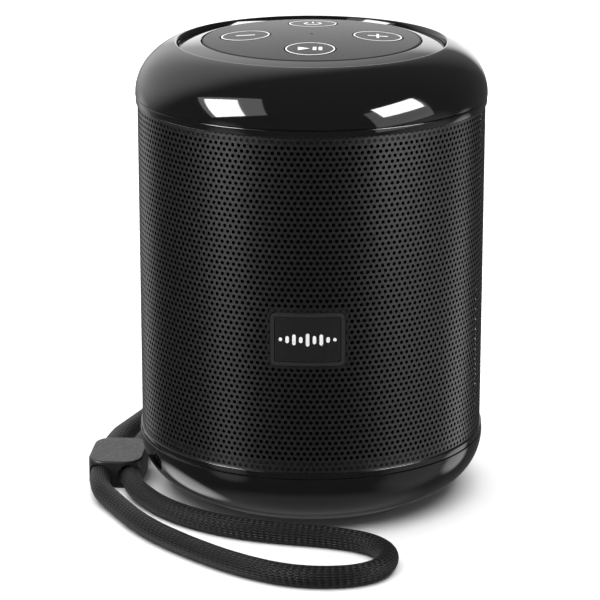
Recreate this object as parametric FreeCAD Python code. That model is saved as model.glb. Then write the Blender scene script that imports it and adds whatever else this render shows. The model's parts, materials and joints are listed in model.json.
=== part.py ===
import FreeCAD, Part
import math
import os

# Portable round wireless speaker with a wrist strap, built as separate pieces.
# Millimetres, +Z up, origin on the floor under the middle of the body, front face towards -Y.
# Radii step inwards from R_BODY and heights step upwards from the floor, through the grille's height.

V = FreeCAD.Vector
os.makedirs("parts", exist_ok=True)
DIAG = [45.0, 135.0, 225.0, 315.0]     # the four screw directions
FAR = 60.0                             # half length of tools that cut right through

# ---- overall sizes ----
R_BODY = 42.8                          # radius of both glossy caps
GRILLE_H = 81.2
CORD_D = 5.0

# ---- clearances ----
GAP = 0.05                             # between fixed pieces that meet
SEAM = 0.1                             # between the caps and the trim rings
SEATED = 0.02                          # left under gaskets, cells and cables
BUTTON_GAP = 0.32
PIN_FIT = 0.06
FLAP_GAP = 0.32                        # above and below the flap
HOLE_FIT = 0.2                         # a clearance hole beyond its screw
PILOT_FIT = 0.05
TRAVEL_GAP = 0.4                       # round everything that the two diaphragms pass

# ---- lower shell and foot ----
SHELL_FLOOR_Z = 0.6                    # underside of the shell
SHELL_TOP_Z = 14.95
SHELL_RIM = 0.4                        # upright rim above the bowl
SHELL_WALL = 2.2
SHELL_ARC_R = 12.791
SHELL_ARC_A = 1.099                    # turn of the bowl in radians, then a straight cone
SHELL_ARC_Z = SHELL_TOP_Z - SHELL_RIM
RIB_T = 2.0
RIB_INSET = 1.2                        # from the chassis bore to the gasket rib
FOOT_W = 6.0
FOOT_INSET = 2.8                       # from the edge of the flat underside to the foot
FOOT_GROOVE = 0.8
FOOT_ROUND = 0.4

# ---- trim rings, grille, cloth ----
LOW_TRIM_H = 1.5
TOP_TRIM_H = 1.75
TRIM_R = R_BODY - 0.1
TRIM_CHAMFER = 0.18
LIP = 2.0                              # height of the trim lips behind the sheet
GRILLE_R = R_BODY - 0.5
GRILLE_T = 0.3
GRILLE_IN = GRILLE_R - GRILLE_T
CLOTH_T = 0.3
CLOTH_R1 = GRILLE_IN - 1.25
CLOTH_R0 = CLOTH_R1 - CLOTH_T
Z_GRILLE_0 = SHELL_TOP_Z + SEAM + LOW_TRIM_H + GAP
Z_GRILLE_1 = Z_GRILLE_0 + GRILLE_H
Z_MIDDLE = (Z_GRILLE_0 + Z_GRILLE_1) / 2.0
Z_CAP = Z_GRILLE_1 + GAP + TOP_TRIM_H + SEAM

# ---- top cap: two arcs from the upright edge to the rim of the recess ----
CAP_WALL = 2.2
CAP_EDGE = 0.2                         # upright edge below the arcs
CAP_R1 = 12.1
CAP_A1 = 0.706
CAP_R2 = 15.4
CAP_A2 = 1.251
RIM_LIP = (0.42, 0.22)                 # width and fall of the bevel inside the rim
RECESS_DRAFT = 0.4
SHELF_RISE = 8.1                       # from the cap's lower edge to the shelf in its recess
SHELF_T = 1.6
SHELF_W = 6.7
WELL_GAP = 2.0
SHELF_Z1 = Z_CAP + SHELF_RISE
SHELF_Z0 = SHELF_Z1 - SHELF_T

# ---- control panel ----
BEZEL_W = 5.35
BEZEL_RISE = 3.4                       # from the shelf to the ring's outer foot
BEZEL_SLOPE = 1.4
BEZEL_LEG = 1.1
BEZEL_SEAT = (2.75, 1.2)               # ledge under the pad: width and thickness
BEZEL_GAP = 0.35
PAD_RISE = 2.5
PAD_PROUD = 0.1
PAD_CROWN = 1.3
PAD_ROUND = (0.3, 0.25)
BUTTON_R = 5.95
BUTTON_INSET = 4.45                    # from a button's edge to the pad's edge
BUTTON_FLOOR = 0.9                     # height of a button's underside above the pad's
BUTTON_TRAVEL = 0.6
STEM_R = 1.8
PLUNGER_R = 0.8
MIC_HOLE_R = 0.4
MIC_R = 2.0
MIC_H = 1.2
SWITCH = 6.0
SWITCH_H = 2.5
SWITCH_FLOOR = 1.0                     # left under the bore that the plunger sinks into

# ---- boards ----
BOARD_T = 1.6
CBOARD_DROP = 1.2                      # from the shelf's underside down to the control board
CBOARD_INSET = 1.1
CBOARD_Z1 = SHELF_Z0 - CBOARD_DROP
CBOARD_Z0 = CBOARD_Z1 - BOARD_T
SWITCH_Z1 = CBOARD_Z1 + SWITCH_H
STEM_Z = SWITCH_Z1 + BUTTON_TRAVEL + 0.1
PLUNGER_Z = CBOARD_Z1 + SWITCH_FLOOR + BUTTON_TRAVEL + 0.35
RIBBON_W = 8.0
RIBBON_T = 0.3
RIBBON_RUN = 8.0

# ---- wrist strap and its ferrule ----
CORD_Z = CORD_D / 2.0
EXIT_Z = 8.5
EXIT_ANGLE = 115.0                     # heading of the strap where it leaves the anchor
EXIT_X = CORD_D / 2.0 + 1.9
EXIT_Y = R_BODY - 1.7
ANCHOR_SINK = 0.3
ANCHOR_PROUD = 0.6
ANCHOR_ROUND = 3.2
ANCHOR_HALF_W = EXIT_X + CORD_D / 2.0 + 2.1
ANCHOR_HALF_H = CORD_D / 2.0 + 1.6
ANCHOR_DEPTH = 9.0
FER_TILT = 3.0
FER_L = 18.8
FER_WALL = 0.55
FER_FIT = 0.12
FER_PITCH = CORD_D + 2.4               # distance between the two bores
FER_W = FER_PITCH + CORD_D + 2.0 * FER_WALL
FER_H = CORD_D + 2.0
FER_CORNER = FER_W / 2.0 - 2.25
FER_ROUND = (0.45, 0.6)                # top and bottom edges
FER_X = -(R_BODY + FER_W / 2.0 - 0.75)
FER_Y = 0.6
FER_BORE_Z = FER_H / 2.0
LIFT_Z = CORD_Z + 2.5                  # where the strap rises from the floor to its anchor
# the strap's course over the floor, in units of the body's radius: from the anchor to the
# ferrule, round the front in a fold and back to the ferrule, and home to the anchor
ROUTE_OUT = [(-0.397, 1.472), (-0.864, 1.414), (-1.105, 0.759)]
ROUTE_FRONT = [(-1.098, -0.621), (-0.916, -0.963), (-0.671, -1.248), (-0.379, -1.514), (-0.075, -1.685)]
ROUTE_FOLD = [(0.224, -1.692), (0.411, -1.579), (0.463, -1.369), (0.362, -1.201)]
ROUTE_RETURN = [(0.152, -1.107), (-0.140, -1.054), (-0.425, -0.972), (-0.696, -0.799), (-0.893, -0.584)]
ROUTE_HOME = [(-0.942, 0.736), (-0.794, 1.075), (-0.514, 1.229)]

# ---- inner chassis ----
CH_R1 = CLOTH_R0 - GAP
CH_WALL = 2.2
CH_R0 = CH_R1 - CH_WALL
CH_Z0 = EXIT_Z + ANCHOR_HALF_H + 0.4
CH_Z1 = Z_GRILLE_1 + 0.2
GASKET_T = 1.0
RIB_TOP = SHELL_TOP_Z + 0.05
CH_FLOOR_Z = RIB_TOP + GASKET_T
CH_FLOOR_T = 2.5
BAFFLE_Y = 26.0                        # outer face of both flat baffles
BAFFLE_T = 2.5
TRIM_IN = CH_R1 + 0.1
RIB_R1 = CH_R0 - RIB_INSET
RIB_R0 = RIB_R1 - RIB_T

# ---- screws: radius of head, height of head, radius of shank ----
CASE_SCREW = (1.9, 1.2, 0.95)
BOARD_SCREW = (1.9, 1.2, 0.85)
SMALL_SCREW = (1.25, 0.9, 0.85)
SCREW_SLOT = 0.5
HEAD_SEAT = 3.4                        # from the shell's underside up to the base screws' seat
HEAD_BOSS_R = 4.0
POST_R = 3.0
BITE = 4.0                             # how far a case screw enters its post

# ---- driver, firing to the front ----
DRIVER_Z = Z_MIDDLE + 3.8
DRIVER_R = 26.0
DRIVER_HOLE = 22.6
DRIVER_SCREW_R = 24.6
GASKET_FOAM = 0.5
FLANGE_T = 1.2
BASKET_NECK = 15.4
BASKET_DEPTH = 16.0                    # from the flange to the basket's back
MAGNET_R = 16.0
MAGNET_HOLE = 9.0
MAGNET_T = 6.0
PLATE_R = 15.0
PLATE_T = 3.0
COIL_R0 = 6.3
COIL_R1 = 6.75
COIL_L = 10.5
CONE_R = 18.4
CONE_DEPTH = 8.5
CONE_T = 0.6
DUST_CAP_R = 8.0
DUST_CAP_T = 0.5
SURROUND_R = 22.1
SURROUND_LIP = 1.1
SURROUND_T = 0.45
SPIDER_T = 0.4
SPIDER_WAVES = 5

# ---- passive radiator at the back ----
PASSIVE_Z = Z_MIDDLE + 8.8
PASSIVE_R = 26.0
PASSIVE_FRAME_T = 1.7
PASSIVE_PLATE_R = 17.0
PASSIVE_PLATE_T = 1.2
PASSIVE_WEIGHT = (9.0, 1.8)            # radius and thickness

# ---- battery, a standard 18650 cell in its sleeve ----
CELL_R = 9.2
CELL_L = 65.0
CELL_Y = 4.0
CELL_X = CH_R0 - CELL_R - 1.0
CELL_Z = CH_FLOOR_Z + CH_FLOOR_T + 3.5
CELL_TIP = (2.8, 1.0)
CRADLE_H = 8.0
CRADLE_SIDE = 7.8

# ---- main board ----
MB_X = -(CH_R0 - 9.6)
MB_Y = 19.0
MB_END = 8.0                           # from the chassis floor and ceiling to the board's ends
MB_Z0 = CH_FLOOR_Z + MB_END
MB_Z1 = CH_Z1 - MB_END
MB_SCREW_Y = 15.0
MB_SCREW_END = 6.0
MB_POST_R = 2.3
MB_FACE = MB_X + BOARD_T

# ---- badge on the front ----
BADGE_HALF = 11.8                      # half width in degrees
BADGE_H = 12.8
BADGE_DROP = 7.5                       # its middle, below the grille's middle
BADGE_R = GRILLE_R + 0.45
BADGE_FRAME = 0.9
BADGE_CORNER = 1.3
BADGE_RECESS = 0.1
BADGE_GAP = 0.2                        # round the badge in the grille and behind it in the cloth
BADGE_FLANGE = 1.1
BADGE_Z0 = Z_MIDDLE - BADGE_DROP - BADGE_H / 2.0
BADGE_Z1 = BADGE_Z0 + BADGE_H

# ---- charging port and its flap at the back ----
PORT_Z = Z_GRILLE_0 + 12.4
FLAP_X = 10.2
FLAP_HALF_Z = 4.6
FLAP_R1 = GRILLE_R
FLAP_R0 = GRILLE_R - 1.4
PORT_HALF_X = FLAP_X + 1.6
PORT_HALF_Z = FLAP_HALF_Z + 1.3
PIN_R = 0.40
PIN_X = FLAP_X - 0.6
PIN_RAD = (FLAP_R0 + FLAP_R1) / 2.0
PIN_Y = math.sqrt(PIN_RAD ** 2 - PIN_X ** 2)
KNUCKLE_R = 0.75
EAR_R = 0.9
GRIP = (0.9, 0.4, 2.5)                 # finger notch: width, depth, half height
USB = (4.5, 1.6, 8.1)                  # half width, half height and depth of the socket's shell
USB_WALL = 0.3
USB_TONGUE = (3.35, 0.35)
LED_X = 7.2
LED_R = 0.8


def save(shape, node):
    shape.exportStep("parts/" + node + ".step")
    bound = shape.BoundBox
    size = "%.1f x %.1f x %.1f" % (bound.XLength, bound.YLength, bound.ZLength)
    good = "ok" if shape.isValid() else "INVALID"
    print("%-22s %2d solid  %s  %9.1f mm3  %s" % (node, len(shape.Solids), size, shape.Volume, good))


def cyl(r, z0, z1, x=0.0, y=0.0):
    return Part.makeCylinder(r, z1 - z0, V(x, y, z0))


def cyl_y(r, y0, y1, x, z):
    return Part.makeCylinder(r, y1 - y0, V(x, y0, z), V(0, 1, 0))


def cyl_x(r, x0, x1, y, z):
    return Part.makeCylinder(r, x1 - x0, V(x0, y, z), V(1, 0, 0))


def ring(r0, r1, z0, z1):
    return cyl(r1, z0, z1).cut(cyl(r0, z0 - 1.0, z1 + 1.0))


def box(x0, x1, y0, y1, z0, z1):
    return Part.makeBox(x1 - x0, y1 - y0, z1 - z0, V(x0, y0, z0))


def poly_face(pts):
    vecs = [V(r, 0, z) for r, z in pts]
    return Part.Face(Part.makePolygon(vecs + [vecs[0]]))


def rev(pts, mid=0.0, sweep=360.0):
    """Turn a closed profile of (radius, height) about +Z, centred on the angle mid."""
    solid = poly_face(pts).revolve(V(0, 0, 0), V(0, 0, 1), sweep)
    if sweep < 360.0:
        solid.rotate(V(0, 0, 0), V(0, 0, 1), mid - sweep / 2.0)
    return solid


def rev_edges(edges):
    return Part.Face(Part.Wire(edges)).revolve(V(0, 0, 0), V(0, 0, 1), 360)


def line(a, b):
    return Part.LineSegment(V(a[0], 0, a[1]), V(b[0], 0, b[1])).toShape()


def path_lines(pts):
    """Straight edges of a profile through its points."""
    return [line(a, b) for a, b in zip(pts, pts[1:])]


def arc(c, r, a0, a1):
    """Arc of a profile: centre (radius, height), start and end angle in radians."""
    pts = []
    for a in (a0, (a0 + a1) / 2.0, a1):
        pts.append(V(c[0] + r * math.cos(a), 0, c[1] + r * math.sin(a)))
    return Part.Arc(pts[0], pts[1], pts[2]).toShape()


def at(c, r, a):
    return (c[0] + r * math.cos(a), c[1] + r * math.sin(a))


def along_y(shape, zc):
    """A piece built about +Z is laid along +Y at the height zc: z becomes y."""
    shape.rotate(V(0, 0, 0), V(1, 0, 0), -90)
    shape.translate(V(0, 0, zc))
    return shape


def polar(r, deg):
    return (r * math.cos(math.radians(deg)), r * math.sin(math.radians(deg)))


def sector(r0, r1, z0, z1, mid, half):
    return rev([(r0, z0), (r1, z0), (r1, z1), (r0, z1)], mid, 2.0 * half)


def fuse_all(parts):
    return parts[0].multiFuse(parts[1:]).removeSplitter()


def cut_all(shape, tools):
    return shape.cut(Part.makeCompound(tools))


# ---- outlines that several pieces share ----
def lower_edge(off):
    """Outer line of the lower shell, moved inwards by off: arc centre, radius, its foot, the base edge."""
    c = (R_BODY - SHELL_ARC_R, SHELL_ARC_Z)
    r = SHELL_ARC_R - off
    foot = at(c, r, -SHELL_ARC_A)
    z_base = SHELL_FLOOR_Z + max(off, 0.0)
    base = (foot[0] - (foot[1] - z_base) * math.tan(SHELL_ARC_A), z_base)
    return c, r, foot, base


def bowl(off, top):
    """Solid of revolution inside the lower shell's line moved inwards by off, up to the height top."""
    c, r, foot, base = lower_edge(off)
    edges = [line((0, base[1]), base), line(base, foot), arc(c, r, -SHELL_ARC_A, 0.0)]
    edges += path_lines([(c[0] + r, c[1]), (c[0] + r, top), (0, top), (0, base[1])])
    return rev_edges(edges)


def foot_radii():
    outer = lower_edge(0.0)[3][0] - FOOT_INSET
    return outer - FOOT_W, outer


def base_screw_r():
    return sum(foot_radii()) / 2.0


def cap_arcs():
    """Centres of the cap's two arcs."""
    c1 = (R_BODY - CAP_R1, Z_CAP + CAP_EDGE)
    return c1, at(c1, CAP_R1 - CAP_R2, CAP_A1)


def rim_points():
    rim = at(cap_arcs()[1], CAP_R2, CAP_A2)
    return rim, (rim[0] - RIM_LIP[0], rim[1] - RIM_LIP[1])


RECESS_R = round(rim_points()[1][0] - RECESS_DRAFT, 2)
BEZEL_R1 = RECESS_R - SEAM
BEZEL_R0 = BEZEL_R1 - BEZEL_W
BEZEL_Z1 = SHELF_Z1 + BEZEL_RISE
BEZEL_Z0 = BEZEL_Z1 + BEZEL_SLOPE
PAD_R = BEZEL_R0 - BEZEL_GAP
PAD_Z0 = SHELF_Z1 + PAD_RISE
PAD_EDGE_Z = BEZEL_Z0 + PAD_PROUD
PAD_TOP = PAD_EDGE_Z + PAD_CROWN
BUTTON_C = PAD_R - BUTTON_R - BUTTON_INSET
BUTTON_Z0 = PAD_Z0 + BUTTON_FLOOR
SHELF_R = RECESS_R - SHELF_W
WELL_R = RECESS_R + WELL_GAP
CAP_SCREW_R = BEZEL_R1 - BEZEL_LEG - CASE_SCREW[0] - 0.3
CBOARD_R = SHELF_R - CBOARD_INSET
CB_SCREW_R = CBOARD_R - 3.9


# ---- screws ----
def screws_z(radius, z_seat, kind, length, up):
    """Four screws along Z on a circle. The heads sit on z_seat; the shanks go up or down."""
    head_r, head_h, shank_r = kind
    side = -1.0 if up else 1.0
    out = []
    for a in DIAG:
        x, y = polar(radius, a)
        tip = z_seat - side * length
        top = z_seat + side * head_h
        head = cyl(head_r, min(z_seat, top), max(z_seat, top), x, y)
        shank = cyl(shank_r, min(tip, z_seat), max(tip, z_seat), x, y)
        reach = head_r * 0.6
        slot_z = sorted((top - side * SCREW_SLOT, top + side))
        slot = box(x - reach, x + reach, y - SCREW_SLOT / 2.0, y + SCREW_SLOT / 2.0, *slot_z)
        out.append(head.fuse(shank).cut(slot).removeSplitter())
    return Part.makeCompound(out)


def screws_y(zc, y_seat, side, length):
    """Four small screws along Y. side -1 puts the heads towards -Y of the seat, +1 towards +Y."""
    head_r, head_h, shank_r = SMALL_SCREW
    out = []
    for x, z in around(zc, DRIVER_SCREW_R):
        top = y_seat + side * head_h
        tip = y_seat - side * length
        head = cyl_y(head_r, min(top, y_seat), max(top, y_seat), x, z)
        shank = cyl_y(shank_r, min(tip, y_seat), max(tip, y_seat), x, z)
        out.append(head.fuse(shank).removeSplitter())
    return Part.makeCompound(out)


def around(zc, r):
    return [(x, zc + z) for x, z in (polar(r, a) for a in DIAG)]


def pilots_y(y0, y1, zc):
    return [cyl_y(SMALL_SCREW[2] + 0.1, y0, y1, x, z) for x, z in around(zc, DRIVER_SCREW_R)]


def holes_z(radius, r, z0, z1):
    return [cyl(r, z0, z1, *polar(radius, a)) for a in DIAG]


# ---- lower shell, foot, rings, sheet ----
def anchor_block(grow):
    """Stadium-like block along the strap's heading at the exit."""
    half_w = ANCHOR_HALF_W + grow
    half_h = ANCHOR_HALF_H + grow
    block = box(-ANCHOR_DEPTH, ANCHOR_DEPTH, -half_w, half_w, EXIT_Z - half_h, EXIT_Z + half_h)
    long_edges = [e for e in block.Edges if abs(e.BoundBox.XLength - 2.0 * ANCHOR_DEPTH) < 1e-6]
    block = block.makeFillet(ANCHOR_ROUND + grow, long_edges)
    block.rotate(V(0, 0, 0), V(0, 0, 1), EXIT_ANGLE)
    block.translate(V(0, EXIT_Y - ANCHOR_SINK, 0))
    return block


def make_lower_shell():
    outer = bowl(0.0, SHELL_TOP_Z)
    shell = outer.cut(bowl(SHELL_WALL, SHELL_TOP_Z + 1.0))
    inside = SHELL_FLOOR_Z + 1.0
    rib = ring(RIB_R0, RIB_R1, inside, RIB_TOP - GAP).common(outer)
    posts = holes_z(base_screw_r(), HEAD_BOSS_R, inside, CH_FLOOR_Z)
    shell = fuse_all([shell, rib] + posts)
    r0, r1 = foot_radii()
    cuts = [ring(r0 - GAP, r1 + GAP, -1.0, SHELL_FLOOR_Z + FOOT_GROOVE), anchor_block(GAP)]
    seat = SHELL_FLOOR_Z + HEAD_SEAT
    cuts += holes_z(base_screw_r(), CASE_SCREW[0] + HOLE_FIT, 0.0, seat)
    cuts += holes_z(base_screw_r(), CASE_SCREW[2] + HOLE_FIT, seat - 1.0, CH_FLOOR_Z + 1.0)
    return cut_all(shell, cuts).removeSplitter()


def make_foot_ring():
    r0, r1 = foot_radii()
    top = SHELL_FLOOR_Z + FOOT_GROOVE - SEATED
    pts = [(r0 + FOOT_ROUND, 0.0), (r1 - FOOT_ROUND, 0.0), (r1, FOOT_ROUND), (r1, top)]
    return rev(pts + [(r0, top), (r0, FOOT_ROUND)])


def make_trim(z0, z1, lip_up):
    """A trim ring with a lip behind the grille sheet, above or below the ring."""
    inner = GRILLE_IN - GAP
    c = TRIM_CHAMFER
    face = [(TRIM_R - c, z0), (TRIM_R, z0 + c), (TRIM_R, z1 - c), (TRIM_R - c, z1)]
    if lip_up:
        return rev([(TRIM_IN, z0)] + face + [(inner, z1), (inner, z1 + LIP), (TRIM_IN, z1 + LIP)])
    return rev([(TRIM_IN, z0 - LIP), (inner, z0 - LIP), (inner, z0)] + face + [(TRIM_IN, z1)])


def badge_window(r0, r1, grow):
    """Rounded rectangle wrapped on the body: a sector with its four upright corners rounded."""
    half = BADGE_HALF + math.degrees(grow / R_BODY)
    solid = sector(r0, r1, BADGE_Z0 - grow, BADGE_Z1 + grow, -90.0, half)
    picks = []
    for e in solid.Edges:
        flat = e.BoundBox.ZLength < 1e-6
        if flat and abs(e.Length - (r1 - r0)) < 1e-4:
            picks.append(e)
    return solid.makeFillet(BADGE_CORNER + grow, picks)


def make_badge():
    plug = badge_window(GRILLE_IN - 0.1, BADGE_R, 0.0)
    flange = badge_window(CLOTH_R1 + 0.35, GRILLE_IN - GAP, BADGE_FLANGE)
    body = plug.fuse(flange).removeSplitter()
    return body.cut(badge_window(BADGE_R - 0.55, BADGE_R + 1.0, -BADGE_FRAME))


def make_badge_inlay():
    return badge_window(BADGE_R - 0.53, BADGE_R - BADGE_RECESS, -BADGE_FRAME - 0.12)


def port_opening(left, right, grow):
    z = PORT_HALF_Z + grow
    return box(-left - grow, right + grow, CH_R0 - 8.0, R_BODY + 3.0, PORT_Z - z, PORT_Z + z)


def make_grille():
    tube = ring(GRILLE_IN, GRILLE_R, Z_GRILLE_0, Z_GRILLE_1)
    tube = tube.cut(badge_window(GRILLE_IN - 1.0, GRILLE_R + 1.0, BADGE_GAP))
    return tube.cut(port_opening(FLAP_X + 0.3, PIN_X + EAR_R + 0.15, 0.2))


def make_cloth():
    tube = ring(CLOTH_R0, CLOTH_R1, Z_GRILLE_0 + LIP + SEAM, Z_GRILLE_1 - LIP - SEAM)
    tube = tube.cut(badge_window(CLOTH_R0 - 1.0, CLOTH_R1 + 1.0, BADGE_FLANGE + BADGE_GAP))
    return tube.cut(port_opening(PORT_HALF_X, PORT_HALF_X, 0.2))


# ---- top cap and control panel ----
def make_top_cap():
    c1, c2 = cap_arcs()
    rim, lip = rim_points()
    ri1 = CAP_R1 - CAP_WALL
    ri2 = CAP_R2 - CAP_WALL
    a_in = math.acos((WELL_R - c2[0]) / ri2)
    recess = [rim, lip, (RECESS_R, BEZEL_Z1 - 0.2), (RECESS_R, SHELF_Z1), (SHELF_R, SHELF_Z1)]
    recess += [(SHELF_R, SHELF_Z0), (WELL_R, SHELF_Z0), at(c2, ri2, a_in)]
    edges = [line((R_BODY, Z_CAP), (R_BODY, c1[1])), arc(c1, CAP_R1, 0.0, CAP_A1)]
    edges += [arc(c2, CAP_R2, CAP_A1, CAP_A2)] + path_lines(recess)
    edges += [arc(c2, ri2, a_in, CAP_A1), arc(c1, ri1, CAP_A1, 0.0)]
    edges += path_lines([(c1[0] + ri1, c1[1]), (c1[0] + ri1, Z_CAP), (R_BODY, Z_CAP)])
    hole = CASE_SCREW[2] + HOLE_FIT
    return cut_all(rev_edges(edges), holes_z(CAP_SCREW_R, hole, SHELF_Z0 - 1.0, SHELF_Z1 + 1.0))


def make_bezel():
    leg = BEZEL_R1 - BEZEL_LEG
    seat_r = BEZEL_R0 - BEZEL_SEAT[0]
    seat_z = PAD_Z0 - BEZEL_SEAT[1]
    web = BEZEL_R0 + 1.15
    pts = [(BEZEL_R1, BEZEL_Z1), (BEZEL_R0, BEZEL_Z0), (BEZEL_R0, PAD_Z0), (seat_r, PAD_Z0)]
    pts += [(seat_r, seat_z), (web, seat_z), (web, BEZEL_Z1 - 0.3), (leg, BEZEL_Z1 - 1.1)]
    return rev(pts + [(leg, SHELF_Z1), (BEZEL_R1, SHELF_Z1)])


def pad_solid():
    """The crowned pad before its buttons are cut out."""
    edge = (PAD_R, PAD_EDGE_Z - PAD_ROUND[1])
    shoulder = (PAD_R - PAD_ROUND[0], PAD_EDGE_Z)
    sphere = (PAD_R ** 2 + PAD_CROWN ** 2) / (2.0 * PAD_CROWN)
    half = shoulder[0] / 2.0
    mid = V(half, 0, PAD_TOP - sphere + math.sqrt(sphere ** 2 - half ** 2))
    crown = Part.Arc(V(shoulder[0], 0, shoulder[1]), mid, V(0, 0, PAD_TOP)).toShape()
    edges = path_lines([(0, PAD_TOP), (0, PAD_Z0), (PAD_R, PAD_Z0), edge, shoulder])
    return rev_edges(edges + [crown])


def button_spots():
    return {"power": (0.0, BUTTON_C), "play": (0.0, -BUTTON_C),
            "volume_down": (-BUTTON_C, 0.0), "volume_up": (BUTTON_C, 0.0)}


def make_pad():
    cuts = [cyl(BUTTON_R + BUTTON_GAP, 0.0, PAD_TOP + 1.0, x, y) for x, y in button_spots().values()]
    cuts.append(cyl(MIC_HOLE_R, 0.0, PAD_TOP + 1.0))
    return cut_all(pad_solid(), cuts)


def make_button(x, y):
    cap = pad_solid().common(cyl(BUTTON_R, BUTTON_Z0, PAD_TOP + 1.0, x, y))
    return cap.fuse(cyl(STEM_R, STEM_Z, BUTTON_Z0 + 0.2, x, y)).removeSplitter()


def make_switches():
    out = []
    h = SWITCH / 2.0
    for x, y in button_spots().values():
        body = box(x - h, x + h, y - h, y + h, CBOARD_Z1, SWITCH_Z1)
        out.append(body.cut(cyl(PLUNGER_R + BUTTON_GAP, CBOARD_Z1 + SWITCH_FLOOR, SWITCH_Z1 + 1.0, x, y)))
    return Part.makeCompound(out)


def make_control_board():
    hole = BOARD_SCREW[2] + HOLE_FIT
    return cut_all(cyl(CBOARD_R, CBOARD_Z0, CBOARD_Z1), holes_z(CB_SCREW_R, hole, CBOARD_Z0, CBOARD_Z1))


# ---- inner chassis ----
def board_posts(r, x0, x1):
    out = []
    for y in (-MB_SCREW_Y, MB_SCREW_Y):
        for z in (MB_Z0 + MB_SCREW_END, MB_Z1 - MB_SCREW_END):
            out.append(cyl_x(r, x0, x1, y, z))
    return out


def chassis_body():
    bore = CH_R0 + 0.5
    core = cyl(bore, CH_FLOOR_Z, CH_Z1)
    barrel = ring(CH_R0, CH_R1, CH_Z0, CH_Z1)
    barrel = barrel.cut(sector(CH_R0 - 1.0, CH_R1 + 1.0, DRIVER_Z - 35.0, DRIVER_Z + 31.0, -90.0, 46.0))
    barrel = barrel.cut(sector(CH_R0 - 1.0, CH_R1 + 1.0, PASSIVE_Z - 26.0, PASSIVE_Z + 26.0, 90.0, 42.0))
    parts = [barrel, cyl(bore, CH_FLOOR_Z, CH_FLOOR_Z + CH_FLOOR_T), cyl(bore, CH_Z1 - CH_FLOOR_T, CH_Z1)]
    inner = BAFFLE_Y - BAFFLE_T
    for y0, y1 in ((-BAFFLE_Y, -inner), (inner, BAFFLE_Y)):
        parts.append(box(-bore, bore, y0, y1, CH_FLOOR_Z, CH_Z1).common(core))
    parts += holes_z(CAP_SCREW_R, POST_R, CH_Z1 - 1.0, SHELF_Z0 - GAP)
    parts += holes_z(CB_SCREW_R, POST_R - 0.6, CH_Z1 - 1.0, CBOARD_Z0)
    parts += holes_z(base_screw_r(), POST_R + 0.2, CH_FLOOR_Z, CH_FLOOR_Z + 2.0 * BITE + 1.0)
    shell = cyl(CH_R1 - 0.5, CH_FLOOR_Z, CH_Z1)
    parts += [post.common(shell) for post in board_posts(MB_POST_R, -CH_R1, MB_X)]
    return fuse_all(parts)


def make_chassis():
    inner = BAFFLE_Y - BAFFLE_T
    cuts = [cyl_y(DRIVER_HOLE, -BAFFLE_Y - 1.0, -inner + 1.0, 0.0, DRIVER_Z)]
    cuts.append(cyl_y(DRIVER_HOLE, inner - 1.0, BAFFLE_Y + 1.0, 0.0, PASSIVE_Z))
    cuts += pilots_y(-BAFFLE_Y - 0.1, -BAFFLE_Y + 2.1, DRIVER_Z)
    cuts += pilots_y(BAFFLE_Y - 2.1, BAFFLE_Y + 0.1, PASSIVE_Z)
    cuts += holes_z(CAP_SCREW_R, CASE_SCREW[2] + PILOT_FIT, CH_Z1 + 0.2, SHELF_Z0)
    cuts += holes_z(CB_SCREW_R, BOARD_SCREW[2] + PILOT_FIT, CH_Z1 + 0.2, CBOARD_Z0 + 1.0)
    cuts += holes_z(base_screw_r(), CASE_SCREW[2] + PILOT_FIT, 0.0, CH_FLOOR_Z + 2.0 * BITE)
    cuts += board_posts(BOARD_SCREW[2] + PILOT_FIT, MB_X - 7.0, MB_X + 1.0)
    cuts.append(port_opening(PORT_HALF_X, PORT_HALF_X, 0.1))
    slot = RIBBON_W / 2.0 + 2.5
    x = ribbon_x()
    cuts.append(box(x - 2.2, x + 2.0, -slot, slot, CH_Z1 - CH_FLOOR_T - 1.0, CH_Z1 + 1.0))
    return cut_all(chassis_body(), cuts).removeSplitter()


# ---- driver and passive radiator ----
def wavy_ring(r0, r1, zc, waves):
    """A corrugated flat ring, such as a driver's spider."""
    pts = []
    n = waves * 2
    for i in range(n + 1):
        crest = SURROUND_T if i % 2 else -SURROUND_T
        pts.append((r0 + (r1 - r0) * i / n, zc + crest))
    return rev(pts + [(r, z - SPIDER_T) for r, z in reversed(pts)])


def roll_ring(r0, seat, side):
    """Half roll of a soft surround with a flat outer lip; it bulges to the given side."""
    rc = (r0 + SURROUND_R) / 2.0
    outer = (SURROUND_R - r0) / 2.0
    inner = outer - SURROUND_T
    lip = SURROUND_R + SURROUND_LIP
    steps = 8
    turn = [math.pi * i / steps for i in range(steps + 1)]
    pts = [(rc - outer * math.cos(a), seat + side * outer * math.sin(a)) for a in turn[:-1]]
    pts += [(SURROUND_R, seat + side * SURROUND_T), (lip, seat + side * SURROUND_T), (lip, seat)]
    return rev(pts + [(rc + inner * math.cos(a), seat + side * inner * math.sin(a)) for a in turn])


def make_cone(neck_y, mouth_y):
    glue = COIL_R1 + SEATED
    return rev([(glue, neck_y), (CONE_R, mouth_y), (CONE_R, mouth_y - CONE_T), (glue, neck_y - CONE_T)])


def make_dust_cap(neck_y, fall):
    """A shallow dome over the voice coil, seated on the cone."""
    sag = DUST_CAP_R + 1.0
    c = (0.0, neck_y - CONE_T - fall * (DUST_CAP_R - COIL_R1) + sag)
    r = math.hypot(DUST_CAP_R, sag)
    a0 = -math.atan2(sag, DUST_CAP_R)
    inner = r - DUST_CAP_T
    b0 = -math.acos((DUST_CAP_R - 0.7) / inner)
    low = -math.pi / 2.0
    edges = [arc(c, r, a0, low), line(at(c, r, low), at(c, inner, low))]
    return rev_edges(edges + [arc(c, inner, low, b0), line(at(c, inner, b0), at(c, r, a0))])


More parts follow.
